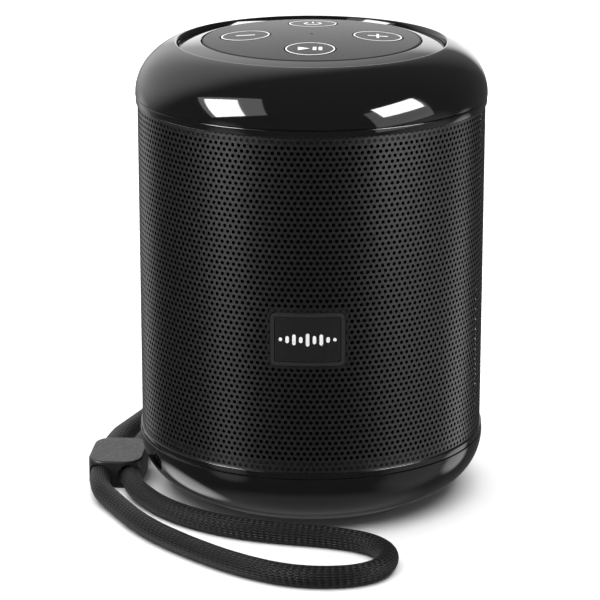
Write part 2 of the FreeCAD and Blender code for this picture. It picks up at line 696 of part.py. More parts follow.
def make_driver():
    """The driver's pieces, built about +Z with the front at negative z, then laid along Y."""
    out = {}
    back = -BAFFLE_Y - GASKET_FOAM
    flange = back - FLANGE_T
    rear = flange + BASKET_DEPTH + 1.2
    holes = holes_z(DRIVER_SCREW_R, SMALL_SCREW[2] + 0.1, -FAR, 0.0)
    out["driver_gasket"] = cut_all(ring(DRIVER_HOLE + 0.2, DRIVER_R, back, -BAFFLE_Y), holes)
    pts = [(SURROUND_R - 0.7, flange), (DRIVER_R, flange), (DRIVER_R, back), (DRIVER_HOLE - 0.2, back)]
    pts += [(BASKET_NECK, rear - 1.5), (BASKET_NECK, rear), (10.0, rear), (10.0, rear - 1.5)]
    pts += [(BASKET_NECK - 1.4, rear - 1.5), (SURROUND_R - 1.1, back)]
    windows = [sector(12.0, 24.0, back + 2.0, rear - 3.5, a, 30.0) for a in (0.0, 90.0, 180.0, 270.0)]
    out["driver_basket"] = cut_all(rev(pts), windows + holes)
    plate = rear + PLATE_T
    yoke = plate + MAGNET_T
    pole = COIL_R0 - TRAVEL_GAP
    out["pole_washer"] = ring(COIL_R1 + TRAVEL_GAP, PLATE_R, rear, plate)
    out["magnet"] = ring(MAGNET_HOLE, MAGNET_R, plate, yoke)
    out["yoke"] = cyl(PLATE_R, yoke, yoke + PLATE_T).fuse(cyl(pole, rear - 0.3, yoke + 0.5)).removeSplitter()
    neck = rear - 5.5
    out["voice_coil"] = ring(COIL_R0, COIL_R1, neck - 1.0, neck - 1.0 + COIL_L)
    out["driver_cone"] = make_cone(neck, neck - CONE_DEPTH)
    out["dust_cap"] = make_dust_cap(neck, CONE_DEPTH / (CONE_R - COIL_R1))
    out["spider"] = wavy_ring(COIL_R1 + TRAVEL_GAP, BASKET_NECK - 0.8, rear - 3.1, SPIDER_WAVES)
    out["surround"] = roll_ring(CONE_R + TRAVEL_GAP, flange, -1.0)
    out = {node: along_y(shape, DRIVER_Z) for node, shape in out.items()}
    out["driver_screws"] = screws_y(DRIVER_Z, flange, -1.0, 2.0 * FLANGE_T + 1.0)
    return out


def make_passive():
    out = {}
    front = BAFFLE_Y + PASSIVE_FRAME_T
    plate = BAFFLE_Y + PASSIVE_PLATE_T
    weight_r, weight_t = PASSIVE_WEIGHT
    holes = holes_z(DRIVER_SCREW_R, SMALL_SCREW[2] + 0.1, 0.0, FAR)
    out["passive_frame"] = cut_all(ring(SURROUND_R - 0.7, PASSIVE_R, BAFFLE_Y, front), holes)
    out["passive_surround"] = roll_ring(PASSIVE_PLATE_R + TRAVEL_GAP, front, 1.0)
    out["passive_plate"] = cyl(PASSIVE_PLATE_R, BAFFLE_Y, plate)
    out["passive_weight"] = cyl(weight_r, BAFFLE_Y - weight_t, BAFFLE_Y)
    out = {node: along_y(shape, PASSIVE_Z) for node, shape in out.items()}
    out["passive_screws"] = screws_y(PASSIVE_Z, front, 1.0, 2.0 * PASSIVE_FRAME_T)
    return out


# ---- battery and boards ----
def make_battery():
    tip_r, tip_h = CELL_TIP
    top = CELL_Z + CELL_L
    cell = cyl(CELL_R, CELL_Z, top - tip_h, CELL_X, CELL_Y)
    tip = cyl(tip_r, top - tip_h - 0.5, top, CELL_X, CELL_Y)
    core = cyl(CH_R0 - GAP, CELL_Z, top)
    hole = cyl(CELL_R + 0.1, CELL_Z, top, CELL_X, CELL_Y)
    side = CELL_R + CRADLE_SIDE
    saddles = []
    for z in (CELL_Z + 5.0, top - CRADLE_H - 7.0):
        block = box(CELL_X - CELL_R - 1.4, CELL_X + 1.0, CELL_Y - side, CELL_Y + side, z, z + CRADLE_H)
        saddles += block.common(core).cut(hole).Solids
    return {"battery_cell": cell.fuse(tip).removeSplitter(), "battery_cradle": Part.makeCompound(saddles)}


def make_main_board():
    head_r, head_h, shank_r = BOARD_SCREW
    board = box(MB_X, MB_FACE, -MB_Y, MB_Y, MB_Z0, MB_Z1)
    board = cut_all(board, board_posts(shank_r + HOLE_FIT + 0.05, MB_X - 1.0, MB_FACE + 1.0))
    heads = board_posts(head_r, MB_FACE, MB_FACE + head_h)
    shanks = board_posts(shank_r, MB_FACE - 6.4, MB_FACE + 0.1)
    screws = [head.fuse(shank).removeSplitter() for head, shank in zip(heads, shanks)]
    chips = []
    # y range, z range above the board's lower end, height of each component
    for y0, y1, z0, z1, tall in ((-12.0, 3.0, 38.0, 54.0, 2.2), (-6.0, 1.0, 24.0, 31.0, 1.2),
                                 (6.0, 11.0, 26.0, 32.0, 1.2), (-14.0, -8.0, 12.0, 18.0, 3.0),
                                 (-4.0, 2.0, 12.0, 18.0, 3.0), (6.0, 14.0, 42.0, 47.0, 4.0)):
        chips.append(box(MB_FACE, MB_FACE + tall, y0, y1, MB_Z0 + z0, MB_Z0 + z1))
    for y in (8.0, 15.0):
        chips.append(cyl_x(2.5, MB_FACE, MB_FACE + 5.5, y, MB_Z0 + 14.0))
    return {"main_board": board, "main_board_screws": Part.makeCompound(screws),
            "board_components": Part.makeCompound(chips)}


def ribbon_x():
    return MB_FACE + 2.0


def make_ribbon():
    """Flat cable from under the control board, down through the chassis, to the main board."""
    t = RIBBON_T
    x0 = ribbon_x() + RIBBON_RUN
    x1 = ribbon_x()
    top = CBOARD_Z0 - SEATED
    foot = MB_Z1 - 4.0
    end = MB_FACE + SEATED
    pts = [(x0, top), (x1, top), (x1, foot), (end, foot), (end, foot - t), (x1 + t, foot - t)]
    strip = poly_face(pts + [(x1 + t, top - t), (x0, top - t)]).extrude(V(0, RIBBON_W, 0))
    strip.translate(V(0, -RIBBON_W / 2.0, 0))
    return strip


# ---- charging port ----
def make_port_plate():
    z0 = PORT_Z - PORT_HALF_Z
    z1 = PORT_Z + PORT_HALF_Z
    seat = cyl(FLAP_R0 - TRAVEL_GAP, 0, Z_CAP)
    plate = box(-PORT_HALF_X, PORT_HALF_X, CH_R0 - 3.0, R_BODY, z0, z1).common(seat)
    ears = []
    ear_h = PORT_HALF_Z - FLAP_HALF_Z - FLAP_GAP
    for z in (z0, z1 - ear_h):
        ear = box(PIN_X - EAR_R, PIN_X + EAR_R, CH_R0 - 0.2, PIN_Y, z, z + ear_h)
        ears.append(ear.fuse(cyl(EAR_R, z, z + ear_h, PIN_X, PIN_Y)))
    w = USB[0] + 0.1
    h = USB[1] + 0.1
    cuts = [cyl(PIN_R, z0 - 1.0, z1 + 1.0, PIN_X, PIN_Y)]
    cuts.append(cyl_y(LED_R + GAP, CH_R0 - 8.0, R_BODY, LED_X, PORT_Z))
    cuts.append(box(-w, w, CH_R0 - 8.0, R_BODY, PORT_Z - h, PORT_Z + h))
    return cut_all(fuse_all([plate] + ears), cuts)


def make_usb():
    width, height, depth = USB
    mouth = FLAP_R0 - 1.3
    back = mouth - depth
    w = width - USB_WALL
    h = height - USB_WALL
    shell = box(-width, width, back, mouth, PORT_Z - height, PORT_Z + height)
    shell = shell.cut(box(-w, w, back + 1.5, mouth + 1.0, PORT_Z - h, PORT_Z + h))
    tw, th = USB_TONGUE
    return fuse_all([shell, box(-tw, tw, back + 1.0, mouth - 1.0, PORT_Z - th, PORT_Z + th)])


def make_flap():
    """Rubber cover: a slice of the grille's cylinder with a knuckle round its pin and a finger notch."""
    z0 = PORT_Z - FLAP_HALF_Z
    z1 = PORT_Z + FLAP_HALF_Z
    half = math.degrees(math.asin(FLAP_X / FLAP_R0)) + 5.0
    flap = sector(FLAP_R0, FLAP_R1, z0, z1, 90.0, half)
    flap = flap.common(box(-FLAP_X, PIN_X, CH_R0 - 8.0, R_BODY, z0, z1))
    width, depth, half_z = GRIP
    inner_x = FLAP_X - width
    y = math.sqrt(FLAP_R1 ** 2 - inner_x ** 2) - depth
    flap = flap.cut(box(-FLAP_X - 1.0, -inner_x, y, R_BODY, PORT_Z - half_z, PORT_Z + half_z))
    flap = fuse_all([flap, cyl(KNUCKLE_R, z0, z1, PIN_X, PIN_Y)])
    return flap.cut(cyl(PIN_R + PIN_FIT, z0 - 1.0, z1 + 1.0, PIN_X, PIN_Y))


def make_port():
    pin = PORT_HALF_Z - 0.1
    led_0 = CH_R0 - 4.0
    under = PORT_Z - USB[1] - GAP
    board_half = PORT_HALF_X - 1.8
    board = box(-board_half, board_half, BAFFLE_Y + 0.4, CH_R0 - 3.2, under - 1.15, under)
    light = cyl_y(LED_R, led_0, FLAP_R0 - 1.1, LED_X, PORT_Z)
    hinge = cyl(PIN_R, PORT_Z - pin, PORT_Z + pin, PIN_X, PIN_Y)
    return {"port_plate": make_port_plate(), "flap_pin": hinge, "usb_c_connector": make_usb(),
            "charge_board": board, "charge_led": light, "port_flap": make_flap()}


# ---- wrist strap ----
def ferrule_axis():
    """Direction of the ferrule's bores and the middles of the left and right bore."""
    t = math.radians(FER_TILT)
    u = (math.sin(t), math.cos(t))
    n = (-math.cos(t), math.sin(t))
    h = FER_PITCH / 2.0
    return u, (FER_X + h * n[0], FER_Y + h * n[1]), (FER_X - h * n[0], FER_Y - h * n[1])


def exit_point(side, run):
    """A point on the axis of the strap's left (-1) or right (+1) exit, run outwards from the anchor."""
    d = polar(1.0, EXIT_ANGLE)
    return (side * EXIT_X + run * d[0], EXIT_Y + run * d[1], EXIT_Z)


def cord_points():
    """The whole strap as one line of points, from one end in the anchor to the other."""
    u, left, right = ferrule_axis()

    def bore(centre, run):
        return (centre[0] + run * u[0], centre[1] + run * u[1], FER_BORE_Z)

    def spots(route, heights):
        return [(x * R_BODY, y * R_BODY, z) for (x, y), z in zip(route, heights)]

    loop = ROUTE_FRONT + ROUTE_FOLD + ROUTE_RETURN
    pts = [exit_point(1, -6.0), exit_point(1, 12.0)] + spots(ROUTE_OUT, (LIFT_Z, CORD_Z, CORD_Z))
    pts += [bore(left, 17.0), bore(left, -16.0)] + spots(loop, [CORD_Z] * len(loop))
    pts += [bore(right, -12.5), bore(right, 17.0)] + spots(ROUTE_HOME, (CORD_Z, CORD_Z, LIFT_Z))
    pts += [exit_point(-1, 9.0), exit_point(-1, -6.0)]
    return [V(*p) for p in pts]


def make_cord():
    """A tube along straight runs joined by tangent arcs, as large as the runs allow."""
    pts = cord_points()
    edges = []
    start = pts[0]
    length = 0.0
    for i in range(1, len(pts) - 1):
        a = pts[i - 1].sub(pts[i])
        b = pts[i + 1].sub(pts[i])
        t = 0.45 * min(a.Length, b.Length)
        turn = math.pi - a.getAngle(b)
        radius = t / math.tan(turn / 2.0)
        ua = V(a).normalize()
        ub = V(b).normalize()
        p = pts[i].add(V(ua).multiply(t))
        q = pts[i].add(V(ub).multiply(t))
        bis = ua.add(ub).normalize()
        reach = radius / math.cos(turn / 2.0) - radius
        m = pts[i].add(bis.multiply(reach))
        edges.append(Part.LineSegment(start, p).toShape())
        edges.append(Part.Arc(p, m, q).toShape())
        length += start.distanceToPoint(p) + radius * turn
        print("cord bend %2d: turn %5.1f deg, radius %6.1f mm" % (i, math.degrees(turn), radius))
        start = q
    edges.append(Part.LineSegment(start, pts[-1]).toShape())
    length += start.distanceToPoint(pts[-1])
    section = Part.Wire([Part.makeCircle(CORD_D / 2.0, pts[0], pts[1].sub(pts[0]).normalize())])
    tube = Part.Wire(edges).makePipeShell([section], True, False)
    want = math.pi * CORD_D ** 2 / 4.0 * length
    print("cord length %.1f mm, section x length %.0f mm3, tube %.0f mm3" % (length, want, tube.Volume))
    return tube


def make_ferrule():
    body = box(-FER_W / 2.0, FER_W / 2.0, -FER_L / 2.0, FER_L / 2.0, 0.0, FER_H)
    upright = [e for e in body.Edges if abs(e.BoundBox.ZLength - FER_H) < 1e-6]
    body = body.makeFillet(FER_CORNER, upright)
    for z, radius in ((FER_H, FER_ROUND[0]), (0.0, FER_ROUND[1])):
        flat = [e for e in body.Edges if e.BoundBox.ZLength < 1e-6 and abs(e.BoundBox.ZMin - z) < 0.01]
        body = body.makeFillet(radius, flat)
    half = FER_PITCH / 2.0
    bores = [cyl_y(CORD_D / 2.0 + FER_FIT, -FER_L, FER_L, x, FER_BORE_Z) for x in (-half, half)]
    body = cut_all(body, bores)
    body.rotate(V(0, 0, 0), V(0, 0, 1), -FER_TILT)
    body.translate(V(FER_X, FER_Y, 0))
    return body


def make_anchor():
    """The block that holds both ends of the strap, a little proud of the shell."""
    block = anchor_block(0.0).common(bowl(-ANCHOR_PROUD, SHELL_TOP_Z))
    d = polar(1.0, EXIT_ANGLE)
    bores = []
    for side in (1, -1):
        foot = V(*exit_point(side, -6.0))
        bores.append(Part.makeCylinder(CORD_D / 2.0, 20.0, foot, V(d[0], d[1], 0)))
    return cut_all(block, bores)


save(make_lower_shell(), "lower_shell")
save(make_foot_ring(), "foot_ring")
save(make_trim(SHELL_TOP_Z + SEAM, Z_GRILLE_0 - GAP, True), "lower_trim_ring")
save(make_grille(), "grille")
save(make_cloth(), "acoustic_cloth")
save(make_trim(Z_GRILLE_1 + GAP, Z_CAP - SEAM, False), "upper_trim_ring")
save(make_top_cap(), "top_cap")
save(make_bezel(), "control_bezel")
save(make_pad(), "control_pad")
for name, spot in button_spots().items():
    save(make_button(*spot), name + "_button")
    save(cyl(PLUNGER_R, PLUNGER_Z, STEM_Z, *spot), name + "_plunger")
save(make_switches(), "tact_switches")
save(make_control_board(), "control_board")
save(screws_z(CB_SCREW_R, CBOARD_Z1, BOARD_SCREW, 6.0, False), "control_board_screws")
save(cyl(MIC_R, CBOARD_Z1, CBOARD_Z1 + MIC_H), "microphone")
save(ring(MIC_HOLE_R + 0.1, MIC_R, CBOARD_Z1 + MIC_H, PAD_Z0), "microphone_gasket")
save(make_badge(), "badge")
save(make_badge_inlay(), "badge_inlay")
save(make_chassis(), "inner_chassis")
save(ring(RIB_R0 - 0.2, RIB_R1 + 0.2, RIB_TOP, CH_FLOOR_Z - SEATED), "base_gasket")
base_seat = SHELL_FLOOR_Z + HEAD_SEAT
save(screws_z(base_screw_r(), base_seat, CASE_SCREW, CH_FLOOR_Z + BITE - base_seat, True), "base_screws")
save(screws_z(CAP_SCREW_R, SHELF_Z1, CASE_SCREW, SHELF_Z1 - CH_Z1 - 1.8, False), "cap_screws")
for group in (make_driver(), make_passive(), make_battery(), make_main_board(), make_port()):
    for node, shape in group.items():
        save(shape, node)
save(make_anchor(), "strap_anchor")
save(make_ribbon(), "ribbon_cable")
save(make_ferrule(), "cord_ferrule")
save(make_cord(), "wrist_cord")
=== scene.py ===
"""Looks of a portable round wireless speaker with a wrist strap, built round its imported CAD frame."""
import json
import math

import bmesh
import bpy
import numpy as np
from mathutils import Matrix, Vector


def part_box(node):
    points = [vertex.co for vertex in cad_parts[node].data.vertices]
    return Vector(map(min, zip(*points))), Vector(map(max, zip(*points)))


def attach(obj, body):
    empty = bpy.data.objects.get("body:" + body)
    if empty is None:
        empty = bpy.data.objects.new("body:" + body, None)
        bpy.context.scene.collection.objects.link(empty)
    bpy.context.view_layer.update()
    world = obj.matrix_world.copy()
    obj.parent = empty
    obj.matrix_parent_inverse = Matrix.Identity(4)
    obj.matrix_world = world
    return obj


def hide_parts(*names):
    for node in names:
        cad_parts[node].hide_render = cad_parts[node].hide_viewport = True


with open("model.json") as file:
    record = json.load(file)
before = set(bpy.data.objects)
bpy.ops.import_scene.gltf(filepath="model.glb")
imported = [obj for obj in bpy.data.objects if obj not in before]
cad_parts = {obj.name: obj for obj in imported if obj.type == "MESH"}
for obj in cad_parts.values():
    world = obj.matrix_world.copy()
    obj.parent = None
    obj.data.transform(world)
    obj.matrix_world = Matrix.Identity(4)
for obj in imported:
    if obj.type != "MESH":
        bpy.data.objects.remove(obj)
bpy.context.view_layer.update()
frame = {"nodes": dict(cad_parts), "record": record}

MM = 0.001
BODY = "speaker_body"

# ---- shells and rings, in millimetres, as in the CAD source ----
R_BODY = 42.8
TURNS = 320                             # sides of a turned piece
EDGE = 0.12                             # chamfer of the shell and the cap beside their trims
SHELL_TOP = 14.95
SHELL_ARC = (12.791, 14.551, 1.099)     # radius, height of its centre, turn in radians
SHELL_WALL = 2.2
SHELL_FLOOR = 2.2                       # thickness
SHELL_UNDER = 0.6
SHELL_HOLLOW = (17.0, 17.6, 0.9)        # the hollow below: flat radius, outer radius, height
BASE_SOFT = ((-0.35, 0.0), (0.15, 0.05), (0.5, 0.24))     # rounding of the bowl's lower edge
FOOT = (22.0, 28.0, 1.4)                # inner and outer radius, top of the foot ring
FOOT_GAP = 0.05
TRIM_R = 42.7
TRIM_INNER_R = 40.6
TRIM_SOFT = 0.22                        # rounding of the trims' corners
TRIM_GAP = 0.1                          # from a trim ring to the shell or the cap
GRILLE_GAP = 0.05                       # from a trim ring to the grille
CAP_Z0 = 99.7
CAP_ARC_Z = 99.9
CAP_ARCS = (12.1, 0.706, 15.4, 1.251)   # radius and end angle of the lower arc, then of the upper one
CAP_WALL = 2.2
CAP_LIP = ((0.10, 0.01), (0.30, -0.08), (0.42, -0.24))    # rounding of the cap's rim, inwards and up
RECESS_R = 32.2
RECESS_DROP = 0.2                       # from the bezel's outer edge down to the recess's wall
RECESS_WALL = 2.0
SHELF = (25.5, 107.8, 106.2)            # inner radius, top and underside of the recess's shelf
BEZEL = (32.1, 111.2, 26.75, 112.6)     # outer radius and its height, inner radius and its height
BEZEL_OUTER = ((0.0, -0.25), (-0.15, -0.02))              # rounding of the outer edge
BEZEL_INNER = ((0.35, -0.07), (0.12, -0.06), (0.0, -0.2))  # rounding of the inner edge
BEZEL_LEDGE = (24.0, 110.3, 109.1)      # inner radius, top and underside of the pad's ledge
BEZEL_HOLLOW = (27.9, 110.9, 31.0, 110.1)                 # radii and heights of the underside's hollow
PAD_R = 26.4
PAD_EDGE_Z = 112.7
PAD_CROWN = 1.3
BUTTON_C = 16.0                         # from the pad's middle to a button's

# ---- perforated grille, in millimetres ----
GRILLE_R = 42.3
GRILLE_Z = (16.6, 97.8)
SHEET_T = 0.15                          # drawn depth of the holes' walls
HOLE_R = 0.46
HOLE_SIDES = 12                         # two for each corner of a hole's cell
HOLES_ROUND = 178
ROWS_BETWEEN = 62.5                     # rows of holes between the two trims
ROW = (GRILLE_Z[1] - GRILLE_Z[0]) / ROWS_BETWEEN
ROWS = 65                               # rows made; the first and last ones end behind the trims
FIRST_ROW = 1.35                        # rows from the lower trim down to the first row
SECTORS = 6
BADGE_R = 42.75
BADGE_RIM = 1.02                        # from the inlay to the badge's edge
BADGE_GAP = 0.2
BADGE_CORNER = 1.5                      # of the window round the badge
PORT_GAP = 0.2
PORT_CORNER = 0.4                       # of the window round the port
FLAP_GAP = 0.5
PIN_GAP = 1.25                          # from the flap pin's middle to the window's side
CORNER_CUTS = [math.radians(15.0 * k) for k in range(1, 6)]
WINDOW_REACH = 1.6                      # how far round a window the cuts look, in half windows

# ---- printed marks and the badge's emblem, in millimetres ----
PRINT_LIFT = 0.035
PRINT_SINK = 0.05
BUTTON_RING = (5.55, 5.86)
POWER_ARC = (1.75, 2.25, math.radians(125), math.radians(415))
POWER_BAR = (-0.25, 0.25, 0.6, 2.7)
STROKE = 0.3                            # half the width of the plus and minus
MINUS_HALF = 2.3
PLUS_HALF = 2.45
PLAY_ARROW = [(-2.9, -1.5), (-0.1, 0.0), (-2.9, 1.5)]
PAUSE_BARS = ((0.6, 1.45, -1.45, 1.45), (2.0, 2.85, -1.45, 1.45))
WAVE_BARS = (0.9, 1.7, 2.6, 1.5, 3.1, 2.0, 2.7, 1.4, 0.8)     # heights
WAVE_PITCH = 1.6
WAVE_HALF = 0.42                        # half the width of a bar
WAVE_STEPS = 12
WAVE_LIFT = 0.03
WAVE_DEPTH = 0.15

# ---- strap, in millimetres ----
CORD_D = 5.0
LOW = CORD_D / 2.0                      # height of the cord's middle where it lies on the floor
RIBS = 24                               # lengthwise ribs of the braid round the cord
RIB_DEPTH = 0.055
STITCH = 1.5                            # length of one stitch
STITCH_SLANT = 1.1
RIB_FALL = 1.8                          # how fast a rib falls off to its sides
STITCH_FLOOR = 0.35                     # height left between two stitches
BRAID_DEPTH = 0.22
EXIT_Z = 8.5
EXIT = (4.4, 41.1)                      # where an end leaves the anchor
EXIT_ANGLE = math.radians(115.0)
EXIT_RUNS = (12.0, 9.0)                 # straight runs of the first and the last end
END_DEPTH = 6.0                         # length of an end inside the anchor
FERRULE = (-48.8, 0.6)
FERRULE_TILT = math.radians(3.0)
FERRULE_HALF_PITCH = 3.7
FERRULE_BORE_Z = 3.5
BORE_REAR = 17.0                        # straight run behind the ferrule
BORE_FRONT = (16.0, 12.5)               # straight runs in front of it, left and right bore
REAR_OUT = ((-17.0, 63.0, 5.0), (-37.0, 60.5, LOW), (-47.3, 32.5, LOW))
FRONT_OUT = ((-47.0, -26.6), (-39.2, -41.2), (-28.7, -53.4), (-16.2, -64.8), (-3.2, -72.1))
FOLD = ((9.6, -72.4), (17.6, -67.6), (19.8, -58.6), (15.5, -51.4))
FRONT_BACK = ((6.5, -47.4), (-6.0, -45.1), (-18.2, -41.6), (-29.8, -34.2), (-38.2, -25.0))
REAR_BACK = ((-40.3, 31.5, LOW), (-34.0, 46.0, LOW), (-22.0, 52.6, 5.0))

# ---- camera and studio, in metres and degrees ----
LENS = 164.7
CAMERA_AT = (0.01275, -0.6545, 0.2391)
CAMERA_DOWN = 16.36                     # below the horizon
CAMERA_TURN = 1.36
LOOK_AT = (0.0, 0.0, 0.09)
FLOOR_HALF = 6.0
# lights: name, azimuth, elevation, distance, size, radiance, roll
TOP_LIGHT = ("top_light", 0.0, 88.0, 1.3, (2.2, 2.2), 3.2, 0.0)
SOFTBOXES = (("left_softbox", -58.0, 20.0, 0.9, (0.36, 0.50), 22.0, 28.0),
             ("left_softbox_halo", -54.0, 24.0, 1.0, (0.76, 0.64), 1.8, 28.0),
             ("right_softbox", 60.0, 20.0, 0.9, (0.52, 0.30), 24.0, 14.0),
             ("right_softbox_halo", 60.0, 8.0, 1.0, (0.8, 0.6), 1.4, 14.0))
AMBIENT = 0.10
# soft glows: azimuth, elevation, full and fading angle, radiance
GLOWS = ((-142.0, 28.0, 22.0, 50.0, 0.9), (176.0, 5.0, 6.0, 17.0, 1.45), (180.0, 22.0, 8.0, 36.0, 0.2),
         (-122.0, -44.0, 6.0, 19.0, 2.2), (118.0, -23.0, 5.0, 15.0, 1.6), (80.0, -27.0, 12.0, 32.0, 0.35),
         (-56.0, -19.0, 4.0, 16.0, 0.5), (0.0, -90.0, 25.0, 45.0, 0.24), (-142.0, -20.0, 4.0, 16.0, 0.5))


# ---------------------------------------------------------------- camera
def make_camera():
    data = bpy.data.cameras.new("camera")
    data.sensor_width = 36.0
    data.lens = LENS
    data.clip_start = 0.01
    cam = bpy.data.objects.new("camera", data)
    bpy.context.scene.collection.objects.link(cam)
    cam.location = CAMERA_AT
    cam.rotation_euler = (math.radians(90.0 - CAMERA_DOWN), 0.0, math.radians(CAMERA_TURN))
    bpy.context.scene.camera = cam


# ---------------------------------------------------------------- materials
def new_material(name, colour, rough, **sockets):
    mat = bpy.data.materials.new(name)
    mat.use_nodes = True
    shader = mat.node_tree.nodes["Principled BSDF"]
    shader.inputs["Base Color"].default_value = (*colour, 1.0)
    shader.inputs["Roughness"].default_value = rough
    for key, value in sockets.items():
        shader.inputs[key.replace("_", " ")].default_value = value
    return mat


def add(mat, kind, **values):
    node = mat.node_tree.nodes.new(kind)
    for key, value in values.items():
        if key in node.inputs:
            node.inputs[key].default_value = value
        else:
            setattr(node, key, value)
    return node


def link(mat, a, b):
    mat.node_tree.links.new(a, b)


def shader_input(mat, name):
    return mat.node_tree.nodes["Principled BSDF"].inputs[name]


def object_coords(mat, per_mm):
    """Object coordinates for a pattern with per_mm cells to a millimetre."""
    coords = add(mat, "ShaderNodeTexCoord")
    mapping = add(mat, "ShaderNodeMapping", Scale=(per_mm / MM,) * 3)
    link(mat, coords.outputs["Object"], mapping.inputs["Vector"])
    return mapping.outputs["Vector"]


def noise(mat, per_mm, detail=3.0):
    tex = add(mat, "ShaderNodeTexNoise", Scale=1.0, Detail=detail)
    link(mat, object_coords(mat, per_mm), tex.inputs["Vector"])
    return tex.outputs["Fac"]


FAC_SPAN = (0.3, 0.7)                   # values of a pattern between which a material changes


def vary_rough(mat, fac, low, high):
    span = add(mat, "ShaderNodeMapRange")
    span.inputs["From Min"].default_value, span.inputs["From Max"].default_value = FAC_SPAN
    span.inputs["To Min"].default_value = low
    span.inputs["To Max"].default_value = high
    link(mat, fac, span.inputs["Value"])
    link(mat, span.outputs["Result"], shader_input(mat, "Roughness"))


def vary_colour(mat, fac, dark, light):
    ramp = add(mat, "ShaderNodeValToRGB")
    for stop, position, colour in zip(ramp.color_ramp.elements, FAC_SPAN, (dark, light)):
        stop.position = position
        stop.color = (*colour, 1.0)
    link(mat, fac, ramp.inputs["Fac"])
    link(mat, ramp.outputs["Color"], shader_input(mat, "Base Color"))


def add_bump(mat, height, strength, depth_mm):
    bump = add(mat, "ShaderNodeBump", Strength=strength, Distance=depth_mm * MM)
    link(mat, height, bump.inputs["Height"])
    link(mat, bump.outputs["Normal"], shader_input(mat, "Normal"))


def grey(v):
    return (v, v, v * 1.03)


def gloss_black():
    mat = new_material("gloss_black_plastic", grey(0.005), 0.05, Specular_IOR_Level=0.55)
    vary_rough(mat, noise(mat, 0.05, 4.0), 0.035, 0.075)
    add_bump(mat, noise(mat, 0.35, 2.0), 0.03, 0.02)
    return mat


def pad_grey():
    mat = new_material("pad_matte", grey(0.024), 0.42, Specular_IOR_Level=0.14)
    vary_colour(mat, noise(mat, 6.0, 4.0), grey(0.020), grey(0.027))
    vary_rough(mat, noise(mat, 3.0, 3.0), 0.38, 0.46)
    add_bump(mat, noise(mat, 9.0, 3.0), 0.15, 0.03)
    return mat


def grille_coat():
    mat = new_material("grille_powder_coat", grey(0.08), 0.3, Metallic=1.0)
    vary_colour(mat, noise(mat, 4.0, 4.0), grey(0.07), grey(0.10))
    vary_rough(mat, noise(mat, 1.2, 3.0), 0.26, 0.34)
    add_bump(mat, noise(mat, 7.0, 3.0), 0.2, 0.02)
    return mat


def rubber():
    mat = new_material("rubber_black", grey(0.010), 0.55, Specular_IOR_Level=0.3)
    vary_rough(mat, noise(mat, 2.0, 3.0), 0.48, 0.62)
    add_bump(mat, noise(mat, 5.0, 4.0), 0.2, 0.03)
    return mat


def badge_face():
    mat = new_material("badge_face", grey(0.009), 0.35, Specular_IOR_Level=0.35)
    vary_rough(mat, noise(mat, 3.0, 3.0), 0.30, 0.42)
    add_bump(mat, noise(mat, 8.0, 3.0), 0.12, 0.02)
    return mat


def print_white():
    mat = new_material("print_white", (0.86, 0.86, 0.86), 0.45)
    vary_rough(mat, noise(mat, 4.0, 2.0), 0.4, 0.5)
    return mat


def moulded(name, colour, rough=0.5):
    mat = new_material(name, colour, rough)
    vary_rough(mat, noise(mat, 1.5, 3.0), rough - 0.06, rough + 0.08)
    add_bump(mat, noise(mat, 6.0, 3.0), 0.12, 0.03)
    return mat


def metal(name, colour, rough=0.3):
    mat = new_material(name, colour, rough, Metallic=1.0)
    vary_rough(mat, noise(mat, 3.0, 3.0), rough - 0.08, rough + 0.1)
    add_bump(mat, noise(mat, 8.0, 2.0), 0.1, 0.01)
    return mat


def woven(name, colour, sheen=0.2):
    """A fine plain weave on object coordinates, for the acoustic cloth and the spider."""
    mat = new_material(name, colour, 0.9, Sheen_Weight=sheen, Specular_IOR_Level=0.0)
    checks = add(mat, "ShaderNodeTexChecker", Scale=1.0)
    link(mat, object_coords(mat, 2.2), checks.inputs["Vector"])
    add_bump(mat, checks.outputs["Fac"], 0.3, 0.05)
    return mat


def math_node(mat, operation, a, b=None):
    node = add(mat, "ShaderNodeMath", operation=operation)
    for i, value in enumerate((a, b)):
        if value is None:
            continue
        if isinstance(value, (int, float)):
            node.inputs[i].default_value = value
        else:
            link(mat, value, node.inputs[i])
    return node.outputs["Value"]


def braid():
    """Nylon braid: lengthwise ribs, each a row of small V-shaped stitches."""
    mat = new_material("strap_braid", grey(0.008), 0.5, Sheen_Weight=0.02, Sheen_Roughness=0.4,
                       Specular_IOR_Level=0.22)
    uv = add(mat, "ShaderNodeUVMap", uv_map="cord")
    split = add(mat, "ShaderNodeSeparateXYZ")
    link(mat, uv.outputs["UV"], split.inputs["Vector"])
    rib = math_node(mat, "FRACT", math_node(mat, "MULTIPLY", split.outputs["Y"], float(RIBS)))
    off = math_node(mat, "ABSOLUTE", math_node(mat, "SUBTRACT", rib, 0.5))
    run = math_node(mat, "MULTIPLY", split.outputs["X"], 1.0 / STITCH)
    slant = math_node(mat, "ADD", run, math_node(mat, "MULTIPLY", off, STITCH_SLANT))
    wave = math_node(mat, "COSINE", math_node(mat, "MULTIPLY", slant, 2.0 * math.pi))
    wave = math_node(mat, "ADD", math_node(mat, "MULTIPLY", wave, 0.5), 0.5)
    ridge = math_node(mat, "SUBTRACT", 1.0, math_node(mat, "MULTIPLY", off, RIB_FALL))
    height = math_node(mat, "MULTIPLY", ridge, math_node(mat, "ADD", wave, STITCH_FLOOR))
    add_bump(mat, height, 1.0, BRAID_DEPTH)
    # painted shade and painted highlight: the braid's colour follows the stitch height, darker in the
    # grooves between stitches and lighter on their crests
    vary_colour(mat, math_node(mat, "POWER", height, 2.0), grey(0.0002), grey(0.023))
    return mat


